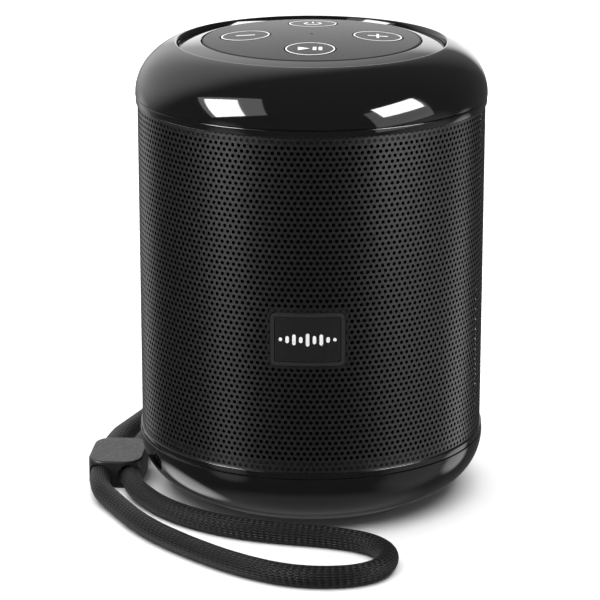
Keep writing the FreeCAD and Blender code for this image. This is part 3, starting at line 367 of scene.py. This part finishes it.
# ---------------------------------------------------------------- mesh helpers
def add_piece(name, verts, faces, mat, body=BODY, sharp=35.0, replaces=()):
    mesh = bpy.data.meshes.new(name)
    mesh.from_pydata([tuple(v) for v in verts], [], faces)
    mesh.validate()
    mesh.materials.append(mat)
    mesh.shade_smooth()
    if sharp:
        mesh.set_sharp_from_angle(angle=math.radians(sharp))
    obj = bpy.data.objects.new(name, mesh)
    bpy.context.scene.collection.objects.link(obj)
    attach(obj, body)
    if replaces:
        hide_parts(*replaces)
    return obj


def arc(c, r, a0, a1, n):
    """Points of a profile's arc: centre (radius, height), angles in radians."""
    return [(c[0] + r * math.cos(a0 + (a1 - a0) * i / n), c[1] + r * math.sin(a0 + (a1 - a0) * i / n))
            for i in range(n + 1)]


def round_corners(pts, radius, n=4):
    """A closed profile with every corner turned into a small arc-like curve."""
    out = []
    for i, p in enumerate(pts):
        a, b = Vector(pts[i - 1]), Vector(pts[(i + 1) % len(pts)])
        q = Vector(p)
        u, v = a - q, b - q
        cut = min(radius, u.length * 0.45, v.length * 0.45)
        s, e = q + u.normalized() * cut, q + v.normalized() * cut
        for k in range(n + 1):
            t = k / n
            w = s * (1 - t) ** 2 + q * 2 * t * (1 - t) + e * t * t
            out.append((w.x, w.y))
    return out


def lathe(name, profile, mat, replaces):
    """A closed profile of (radius, height) in millimetres turned round the body's axis."""
    verts, rows = [], []
    for r, z in profile:
        if r < 1e-6:
            rows.append([len(verts)] * TURNS)
            verts.append((0.0, 0.0, z * MM))
            continue
        rows.append(list(range(len(verts), len(verts) + TURNS)))
        for k in range(TURNS):
            a = 2.0 * math.pi * k / TURNS
            verts.append((r * math.cos(a) * MM, r * math.sin(a) * MM, z * MM))
    faces = []
    for i, low in enumerate(rows):
        high = rows[(i + 1) % len(rows)]
        for k in range(TURNS):
            m = (k + 1) % TURNS
            quad = (low[k], low[m], high[m], high[k])
            ring = tuple(dict.fromkeys(quad))
            if len(ring) > 2:
                faces.append(ring)
    add_piece(name, verts, faces, mat, replaces=replaces)


# ---------------------------------------------------------------- strap
def strap_route():
    """The strap from one end in the anchor to the other, in millimetres."""
    d = (math.cos(EXIT_ANGLE), math.sin(EXIT_ANGLE))
    u = (math.sin(FERRULE_TILT), math.cos(FERRULE_TILT))
    n = (-math.cos(FERRULE_TILT), math.sin(FERRULE_TILT))
    h = FERRULE_HALF_PITCH
    left = (FERRULE[0] + h * n[0], FERRULE[1] + h * n[1])
    right = (FERRULE[0] - h * n[0], FERRULE[1] - h * n[1])

    def leaving(side, s):
        return (side * EXIT[0] + s * d[0], EXIT[1] + s * d[1], EXIT_Z)

    def bore(centre, s):
        return (centre[0] + s * u[0], centre[1] + s * u[1], FERRULE_BORE_Z)

    pts = [leaving(1, -END_DEPTH), leaving(1, EXIT_RUNS[0]), *REAR_OUT]
    pts += [bore(left, BORE_REAR), bore(left, -BORE_FRONT[0])]
    pts += [(x, y, LOW) for x, y in FRONT_OUT + FOLD + FRONT_BACK]
    pts += [bore(right, -BORE_FRONT[1]), bore(right, BORE_REAR)]
    pts += [*REAR_BACK, leaving(-1, EXIT_RUNS[1]), leaving(-1, -END_DEPTH)]
    return [Vector(p) * MM for p in pts]


def smooth_line(points):
    """The points of one open NURBS spline through the route, as Blender draws it."""
    data = bpy.data.curves.new("strap_line", "CURVE")
    data.dimensions = "3D"
    spline = data.splines.new("NURBS")
    spline.points.add(len(points) - 1)
    for point, p in zip(spline.points, points):
        point.co = (*p, 1.0)
    spline.order_u = 3
    spline.use_endpoint_u = True
    spline.resolution_u = 36
    obj = bpy.data.objects.new("strap_line", data)
    bpy.context.scene.collection.objects.link(obj)
    bpy.context.view_layer.update()
    mesh = bpy.data.meshes.new_from_object(obj)
    line = np.array([v.co[:] for v in mesh.vertices])
    bpy.data.objects.remove(obj)
    bpy.data.meshes.remove(mesh)
    keep = np.r_[True, np.linalg.norm(np.diff(line, axis=0), axis=1) > 1e-6]
    return line[keep]


def carried_frames(line):
    """Tangent, normal and side at each point, carried along with no twist."""
    tangent = np.gradient(line, axis=0)
    tangent /= np.linalg.norm(tangent, axis=1)[:, None]
    normal = np.zeros_like(line)
    start = np.cross(tangent[0], (0.0, 0.0, 1.0))
    normal[0] = start / np.linalg.norm(start)
    for i in range(1, len(line)):
        n = normal[i - 1] - tangent[i] * np.dot(normal[i - 1], tangent[i])
        normal[i] = n / np.linalg.norm(n)
    return normal, np.cross(tangent, normal)


def make_strap():
    line = smooth_line(strap_route())
    normal, side = carried_frames(line)
    run = np.r_[0.0, np.cumsum(np.linalg.norm(np.diff(line, axis=0), axis=1))]
    around = RIBS * 2
    angles = 2.0 * np.pi * np.arange(around) / around
    relief = np.where(np.arange(around) % 2 == 0, 0.0, -RIB_DEPTH) * MM
    radius = CORD_D / 2.0 * MM + relief
    rings = (line[:, None, :]
             + normal[:, None, :] * (np.cos(angles) * radius)[None, :, None]
             + side[:, None, :] * (np.sin(angles) * radius)[None, :, None])
    verts = rings.reshape(-1, 3)
    count = len(line)
    i = np.arange(count - 1)[:, None]
    k = np.arange(around)[None, :]
    m = (k + 1) % around
    quads = np.stack([i * around + k, i * around + m, (i + 1) * around + m, (i + 1) * around + k], -1)
    faces = quads.reshape(-1, 4).tolist()
    faces.append(list(range(around))[::-1])
    faces.append([(count - 1) * around + j for j in range(around)])
    obj = add_piece("wrist_strap", verts, faces, braid(), sharp=60.0)
    uv = obj.data.uv_layers.new(name="cord")
    coords = np.zeros((len(obj.data.loops), 2))
    grid_u = np.stack([run[:-1], run[:-1], run[1:], run[1:]], 1) / MM
    grid_v = np.stack([k[0], k[0] + 1, k[0] + 1, k[0]], 1) / around
    n = (count - 1) * around * 4
    coords[:n, 0] = np.repeat(grid_u[:, None, :], around, 1).reshape(-1)
    coords[:n, 1] = np.tile(grid_v.reshape(-1), count - 1)
    uv.data.foreach_set("uv", coords.reshape(-1))
    obj.visible_glossy = False          # keeps the strap out of the shell's reflections
    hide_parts("wrist_cord")


# ---------------------------------------------------------------- shells and rings
def make_top_cap(mat):
    r1, a1, r2, a2 = CAP_ARCS
    c1 = (R_BODY - r1, CAP_ARC_Z)
    c2 = (c1[0] + (r1 - r2) * math.cos(a1), c1[1] + (r1 - r2) * math.sin(a1))
    outer = [(R_BODY - EDGE, CAP_Z0), (R_BODY, CAP_Z0 + EDGE)]
    outer += arc(c1, r1, 0.0, a1, 28) + arc(c2, r2, a1, a2, 30)[1:]
    rim = outer[-1]
    lip = [(rim[0] - inwards, rim[1] + up) for inwards, up in CAP_LIP]
    well = [(RECESS_R, BEZEL[1] - RECESS_DROP), (RECESS_R, SHELF[1]), (SHELF[0], SHELF[1])]
    well += [(SHELF[0], SHELF[2]), (RECESS_R + RECESS_WALL, SHELF[2])]
    a_in = math.acos((RECESS_R + RECESS_WALL - c2[0]) / (r2 - CAP_WALL))
    inner = arc(c2, r2 - CAP_WALL, a_in, a1, 10) + arc(c1, r1 - CAP_WALL, a1, 0.0, 10)[1:]
    inner += [(R_BODY - CAP_WALL, CAP_Z0)]
    lathe("top_cap_shell", outer + lip + well + inner, mat, replaces=("top_cap",))


def make_bezel(mat):
    r_out, z_out, r_in, z_in = BEZEL
    ledge_r, ledge_top, ledge_low = BEZEL_LEDGE
    hollow_in, hollow_top, hollow_out, hollow_low = BEZEL_HOLLOW
    slope = [(r_out + out, z_out + up) for out, up in BEZEL_OUTER]
    slope += [(r_in + out, z_in + up) for out, up in BEZEL_INNER]
    under = [(r_in, ledge_top), (ledge_r, ledge_top), (ledge_r, ledge_low), (hollow_in, ledge_low)]
    under += [(hollow_in, hollow_top), (hollow_out, hollow_low), (hollow_out, SHELF[1]), (r_out, SHELF[1])]
    lathe("control_ring", slope + under, mat, replaces=("control_bezel",))


def make_lower_shell(mat):
    r, zc, a = SHELL_ARC
    c = (R_BODY - r, zc)
    turn = arc(c, r, -a, 0.0, 40)
    knee = turn[0]
    base = (knee[0] - (knee[1] - SHELL_UNDER) * math.tan(a), SHELL_UNDER)
    soft = [(base[0] + out, SHELL_UNDER + up) for out, up in BASE_SOFT]
    flat, edge, hollow_z = SHELL_HOLLOW
    groove = (FOOT[0] - FOOT_GAP, FOOT[1] + FOOT_GAP)
    under = [(0.0, hollow_z), (flat, hollow_z), (edge, SHELL_UNDER), (groove[0], SHELL_UNDER)]
    under += [(groove[0], FOOT[2]), (groove[1], FOOT[2]), (groove[1], SHELL_UNDER)]
    rim = [(R_BODY, SHELL_TOP - EDGE), (R_BODY - EDGE, SHELL_TOP), (R_BODY - SHELL_WALL, SHELL_TOP)]
    inner = arc(c, r - SHELL_WALL, 0.0, -a, 16)
    end = inner[-1]
    floor = SHELL_UNDER + SHELL_FLOOR
    inner += [(end[0] - (end[1] - floor) * math.tan(a), floor), (0.0, floor)]
    lathe("lower_shell_body", under + soft + turn + rim + inner, mat,
          replaces=("lower_shell",))


def make_trims(mat):
    lower = (SHELL_TOP + TRIM_GAP, GRILLE_Z[0] - GRILLE_GAP)
    upper = (GRILLE_Z[1] + GRILLE_GAP, CAP_Z0 - TRIM_GAP)
    for name, (z0, z1) in (("lower_trim", lower), ("upper_trim", upper)):
        corners = [(TRIM_INNER_R, z0), (TRIM_R, z0), (TRIM_R, z1), (TRIM_INNER_R, z1)]
        profile = round_corners(corners, TRIM_SOFT)
        lathe(name, profile, mat, replaces=(name + "_ring",))


# ---------------------------------------------------------------- perforated grille
def windows():
    """The grille's two cut-outs as (middle angle, half angle, low, high, corner radius)."""
    face = [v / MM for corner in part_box("badge_inlay") for v in corner]
    grow = BADGE_RIM + BADGE_GAP
    half = math.asin(face[3] / BADGE_R) + grow / GRILLE_R
    plate = [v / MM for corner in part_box("port_plate") for v in corner]
    flap = [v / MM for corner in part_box("port_flap") for v in corner]
    pin = [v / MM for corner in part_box("flap_pin") for v in corner]
    left = math.asin((-flap[0] + FLAP_GAP) / GRILLE_R)
    right = math.asin(((pin[0] + pin[3]) / 2.0 + PIN_GAP) / GRILLE_R)
    rear = math.pi / 2.0 + (left - right) / 2.0
    return [(-math.pi / 2.0, half, face[2] - grow, face[5] + grow, BADGE_CORNER),
            (rear, (left + right) / 2.0, plate[2] - PORT_GAP, plate[5] + PORT_GAP, PORT_CORNER)]


def sector_mesh(first, last):
    """Points and faces of a staggered perforation, for the columns first to last."""
    step = 2.0 * math.pi / HOLES_ROUND
    z0 = GRILLE_Z[0] - FIRST_ROW * ROW
    corner_of, verts, faces = {}, [], []

    def corner(col2, row, up):
        """The corner above (up 1) or below (up -1) the hole at half-column col2 of a row."""
        key = (col2, row, up)
        if key not in corner_of:
            corner_of[key] = len(verts)
            a = -math.pi / 2.0 + col2 * step / 2.0
            z = z0 + row * ROW + up * ROW * 2.0 / 3.0
            verts.append((GRILLE_R * math.cos(a), GRILLE_R * math.sin(a), z))
        return corner_of[key]

    inner_r = GRILLE_R - SHEET_T
    for row in range(ROWS):
        for col in range(first, last):
            c2 = 2 * col + row % 2
            # corners anticlockwise seen from outside, from the lower right
            ring = [corner(c2 + 1, row - 1, 1), corner(c2 + 1, row + 1, -1), corner(c2, row, 1)]
            ring += [corner(c2 - 1, row + 1, -1), corner(c2 - 1, row - 1, 1), corner(c2, row, -1)]
            base = len(verts)
            zc = z0 + row * ROW
            for radius in (GRILLE_R, inner_r):
                for k in range(HOLE_SIDES):
                    t = math.radians(-30.0 + 360.0 * k / HOLE_SIDES)
                    a = -math.pi / 2.0 + c2 * step / 2.0 + HOLE_R * math.cos(t) / GRILLE_R
                    verts.append((radius * math.cos(a), radius * math.sin(a), zc + HOLE_R * math.sin(t)))
            for s in range(6):
                h0, h1, h2 = base + 2 * s, base + 2 * s + 1, base + (2 * s + 2) % HOLE_SIDES
                faces.append((ring[s], ring[(s + 1) % 6], h2, h1, h0))
            for k in range(HOLE_SIDES):
                m = (k + 1) % HOLE_SIDES
                faces.append((base + k, base + m, base + HOLE_SIDES + m, base + HOLE_SIDES + k))
    return np.array(verts) * MM, faces


def cut_window(mesh, window):
    """Cuts one rounded opening out of a sector of the grille."""
    mid, half, low, high, corner = window
    span = max(half * GRILLE_R, (high - low) / 2.0) * MM * WINDOW_REACH
    centre = Vector((GRILLE_R * math.cos(mid), GRILLE_R * math.sin(mid), (low + high) / 2.0)) * MM
    bm = bmesh.new()
    bm.from_mesh(mesh)

    def near():
        faces = [f for f in bm.faces if (f.calc_center_median() - centre).length < span]
        edges = {e for f in faces for e in f.edges}
        verts = {v for f in faces for v in f.verts}
        return list(verts) + list(edges) + faces

    if len(near()) == 0:
        bm.free()
        return
    planes = []
    for side in (-1, 1):
        a = mid + side * half
        planes.append((Vector((math.cos(a), math.sin(a), 0.0)) * GRILLE_R * MM,
                       Vector((-math.sin(a), math.cos(a), 0.0)) * side))
    for z, side in ((low, -1), (high, 1)):
        planes.append((Vector((0, 0, z)) * MM, Vector((0, 0, side))))
    wide = half * GRILLE_R - corner
    tall = (high - low) / 2.0 - corner
    for t in CORNER_CUTS:
        for sx, sz in ((-1, -1), (-1, 1), (1, -1), (1, 1)):
            a = mid + sx * (wide + corner * math.cos(t)) / GRILLE_R
            z = (low + high) / 2.0 + sz * (tall + corner * math.sin(t))
            lean = sx * math.cos(t)
            point = Vector((GRILLE_R * math.cos(a), GRILLE_R * math.sin(a), z)) * MM
            planes.append((point, Vector((-math.sin(a) * lean, math.cos(a) * lean, sz * math.sin(t)))))
    for point, normal in planes:
        bmesh.ops.bisect_plane(bm, geom=near(), plane_co=point, plane_no=normal, dist=1e-7)
    doomed = []
    for f in bm.faces:
        c = f.calc_center_median() / MM
        a = math.atan2(c.y, c.x) - mid
        a = (a + math.pi) % (2.0 * math.pi) - math.pi
        du = abs(a) * GRILLE_R - wide
        dz = abs(c.z - (low + high) / 2.0) - tall
        if max(du, dz) < corner and all(du * math.cos(t) + dz * math.sin(t) < corner for t in CORNER_CUTS):
            doomed.append(f)
    bmesh.ops.delete(bm, geom=doomed, context="FACES")
    bm.to_mesh(mesh)
    bm.free()


def make_grille(mat):
    openings = windows()
    half = HOLES_ROUND // (2 * SECTORS)
    for k in range(SECTORS):
        first, last = (round(HOLES_ROUND * n / SECTORS) - half for n in (k, k + 1))
        verts, faces = sector_mesh(first, last)
        obj = add_piece("grille_sheet_%d" % k, verts, faces, mat, sharp=0)
        for window in openings:
            cut_window(obj.data, window)
        obj.data.set_sharp_from_angle(angle=math.radians(40.0))
        if k == 0:
            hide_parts("grille")


# ---------------------------------------------------------------- printed marks
def crown_z(x, y):
    """Height of the crowned pad's face."""
    rs = (PAD_R ** 2 + PAD_CROWN ** 2) / (2.0 * PAD_CROWN)
    return PAD_EDGE_Z + PAD_CROWN - rs + math.sqrt(rs * rs - x * x - y * y)


def print_marks(name, spot, outlines, mat, body):
    """Thin printed shapes on the crowned pad. Each outline is a closed list of (x, y) round the spot."""
    verts, faces = [], []
    for outline in outlines:
        base, n = len(verts), len(outline)
        for lift in (PRINT_LIFT, -PRINT_SINK):
            for x, y in outline:
                px, py = spot[0] + x, spot[1] + y
                verts.append((px * MM, py * MM, (crown_z(px, py) + lift) * MM))
        faces.append(tuple(base + i for i in range(n)))
        faces += [(base + (i + 1) % n, base + i, base + n + i, base + n + (i + 1) % n) for i in range(n)]
    add_piece(name, verts, faces, mat, body=body)


def bar(x0, x1, y0, y1):
    return [(x0, y0), (x1, y0), (x1, y1), (x0, y1)]


def band(r0, r1, a0, a1, n):
    """A curved stripe as short four-sided outlines."""
    out = []
    for i in range(n):
        a, b = a0 + (a1 - a0) * i / n, a0 + (a1 - a0) * (i + 1) / n
        out.append([(r0 * math.cos(a), r0 * math.sin(a)), (r1 * math.cos(a), r1 * math.sin(a)),
                    (r1 * math.cos(b), r1 * math.sin(b)), (r0 * math.cos(b), r0 * math.sin(b))])
    return out


def make_marks():
    mat = print_white()
    ring = band(*BUTTON_RING, 0.0, 2.0 * math.pi, 72)
    power = band(*POWER_ARC, 36) + [bar(*POWER_BAR)]
    minus = [bar(-MINUS_HALF, MINUS_HALF, -STROKE, STROKE)]
    plus = [bar(-PLUS_HALF, PLUS_HALF, -STROKE, STROKE), bar(-STROKE, STROKE, STROKE, PLUS_HALF),
            bar(-STROKE, STROKE, -PLUS_HALF, -STROKE)]
    play = [PLAY_ARROW] + [bar(*sides) for sides in PAUSE_BARS]
    spots = {"power": ((0.0, BUTTON_C), power, "power_key"), "play": ((0.0, -BUTTON_C), play, "play_key"),
             "volume_down": ((-BUTTON_C, 0.0), minus, "volume_down_key"),
             "volume_up": ((BUTTON_C, 0.0), plus, "volume_up_key")}
    for name, (spot, shape, body) in spots.items():
        print_marks(name + "_print", spot, ring + shape, mat, body)
    return mat


def make_emblem(mat):
    """A plain sound-wave mark of nine bars on the badge."""
    lo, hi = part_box("badge_inlay")
    radius = -lo.y / MM + WAVE_LIFT
    zc = (lo.z + hi.z) / 2.0 / MM
    verts, faces = [], []
    for i, tall in enumerate(WAVE_BARS):
        x = (i - len(WAVE_BARS) // 2) * WAVE_PITCH
        outline = []
        for side, start in ((1.0, 0.0), (-1.0, math.pi)):
            middle = zc + side * (tall / 2.0 - WAVE_HALF)
            for k in range(WAVE_STEPS + 1):
                t = start + math.pi * k / WAVE_STEPS
                outline.append((x + WAVE_HALF * math.cos(t), middle + WAVE_HALF * math.sin(t)))
        base, n = len(verts), len(outline)
        for r in (radius, radius - WAVE_DEPTH):
            for px, pz in outline:
                a = -math.pi / 2.0 + px / radius
                verts.append((r * math.cos(a) * MM, r * math.sin(a) * MM, pz * MM))
        faces.append(tuple(base + j for j in range(n)))
        faces += [(base + (j + 1) % n, base + j, base + n + j, base + n + (j + 1) % n) for j in range(n)]
    add_piece("badge_emblem", verts, faces, mat)


# ---------------------------------------------------------------- finishes of the CAD pieces
def finish_nodes(gloss, coat):
    by_slot = {
        "gloss_black": gloss,
        "pad_grey": pad_grey(),
        "grille_metal": coat,
        "cloth": woven("acoustic_cloth", grey(0.0015), 0.0),
        "rubber_black": rubber(),
        "badge_face": badge_face(),
        "inner_plastic": moulded("inner_plastic", grey(0.012)),
        "switch_plastic": moulded("switch_plastic", (0.6, 0.6, 0.57)),
        "board_green": moulded("board_green", (0.01, 0.1, 0.05), 0.35),
        "component_black": moulded("component_black", grey(0.03), 0.45),
        "steel": metal("steel", (0.55, 0.55, 0.57)),
        "ferrite": moulded("ferrite", grey(0.05), 0.45),
        "cone_paper": moulded("cone_paper", grey(0.02), 0.7),
        "copper": metal("copper", (0.8, 0.36, 0.2)),
        "spider_cloth": woven("spider_cloth", (0.5, 0.3, 0.08)),
        "passive_metal": metal("passive_metal", (0.5, 0.5, 0.52), 0.35),
        "cell_wrap": moulded("cell_wrap", (0.02, 0.12, 0.45), 0.3),
        "led_lens": moulded("led_lens", (0.8, 0.8, 0.8), 0.3),
        "ribbon": moulded("ribbon", (0.6, 0.3, 0.05), 0.35),
        "cord_black": moulded("cord_core", grey(0.01), 0.6),
        "ferrule_grey": moulded("ferrule_matte", grey(0.006), 0.46),
    }
    for part in frame["record"]["subparts"]:
        obj = frame["nodes"][part["node"]]
        mat = by_slot[part["material_slot"]]
        obj.data.materials.clear()
        obj.data.materials.append(mat)


# ---------------------------------------------------------------- stage
def heading(azimuth, elevation):
    """A direction. Azimuth 0 is in front of the object and 90 at its right."""
    a, e = math.radians(azimuth), math.radians(elevation)
    return Vector((math.sin(a) * math.cos(e), -math.cos(a) * math.cos(e), math.sin(e)))


def area_light(name, azimuth, elevation, distance, size, radiance, roll, fill=False):
    """A rectangular light that looks at the object: a fill light, or one seen only in reflections."""
    data = bpy.data.lights.new(name, "AREA")
    data.shape = "RECTANGLE"
    data.size, data.size_y = size
    data.energy = radiance * math.pi * size[0] * size[1]
    obj = bpy.data.objects.new(name, data)
    bpy.context.scene.collection.objects.link(obj)
    away = heading(azimuth, elevation)
    obj.location = Vector(LOOK_AT) + away * distance
    turn = away.to_track_quat("Z", "Y").to_matrix() @ Matrix.Rotation(math.radians(roll), 3, "Z")
    obj.rotation_euler = turn.to_euler()
    obj.visible_camera = False
    obj.visible_glossy = not fill
    obj.visible_diffuse = fill


def make_world():
    world = bpy.data.worlds.new("studio")
    world.use_nodes = True
    tree = world.node_tree
    coords = tree.nodes.new("ShaderNodeTexCoord")
    total = None
    for azimuth, elevation, full, fade, radiance in GLOWS:
        dot = tree.nodes.new("ShaderNodeVectorMath")
        dot.operation = "DOT_PRODUCT"
        dot.inputs[1].default_value = heading(azimuth, elevation)
        tree.links.new(coords.outputs["Generated"], dot.inputs[0])
        fall = tree.nodes.new("ShaderNodeMapRange")
        fall.interpolation_type = "SMOOTHSTEP"
        fall.inputs["From Min"].default_value = math.cos(math.radians(fade))
        fall.inputs["From Max"].default_value = math.cos(math.radians(full))
        fall.inputs["To Max"].default_value = radiance
        tree.links.new(dot.outputs["Value"], fall.inputs["Value"])
        plus = tree.nodes.new("ShaderNodeMath")
        plus.operation = "ADD"
        plus.inputs[1].default_value = AMBIENT
        tree.links.new(fall.outputs["Result"], plus.inputs[0])
        if total is not None:
            tree.links.new(total, plus.inputs[1])
        total = plus.outputs["Value"]
    tree.links.new(total, tree.nodes["Background"].inputs["Strength"])
    tree.nodes["Background"].inputs["Color"].default_value = (1.0, 1.0, 1.0, 1.0)
    bpy.context.scene.world = world


def make_stage():
    mesh = bpy.data.meshes.new("floor")
    s = FLOOR_HALF
    mesh.from_pydata([(-s, -s, 0), (s, -s, 0), (s, s, 0), (-s, s, 0)], [], [(0, 1, 2, 3)])
    floor = bpy.data.objects.new("floor", mesh)
    bpy.context.scene.collection.objects.link(floor)
    mesh.materials.append(new_material("floor_white", (0.96, 0.96, 0.96), 0.9, Specular_IOR_Level=0.1))
    floor.visible_glossy = False        # keeps the floor out of the shell's reflections
    make_world()
    area_light(*TOP_LIGHT, fill=True)
    for softbox in SOFTBOXES:
        area_light(*softbox)


make_camera()
make_strap()
gloss = gloss_black()
coat = grille_coat()
finish_nodes(gloss, coat)
make_top_cap(gloss)
make_bezel(gloss)
make_trims(gloss)
make_lower_shell(gloss)
make_grille(coat)
make_emblem(make_marks())
make_stage()
bpy.context.scene.view_settings.view_transform = "Standard"
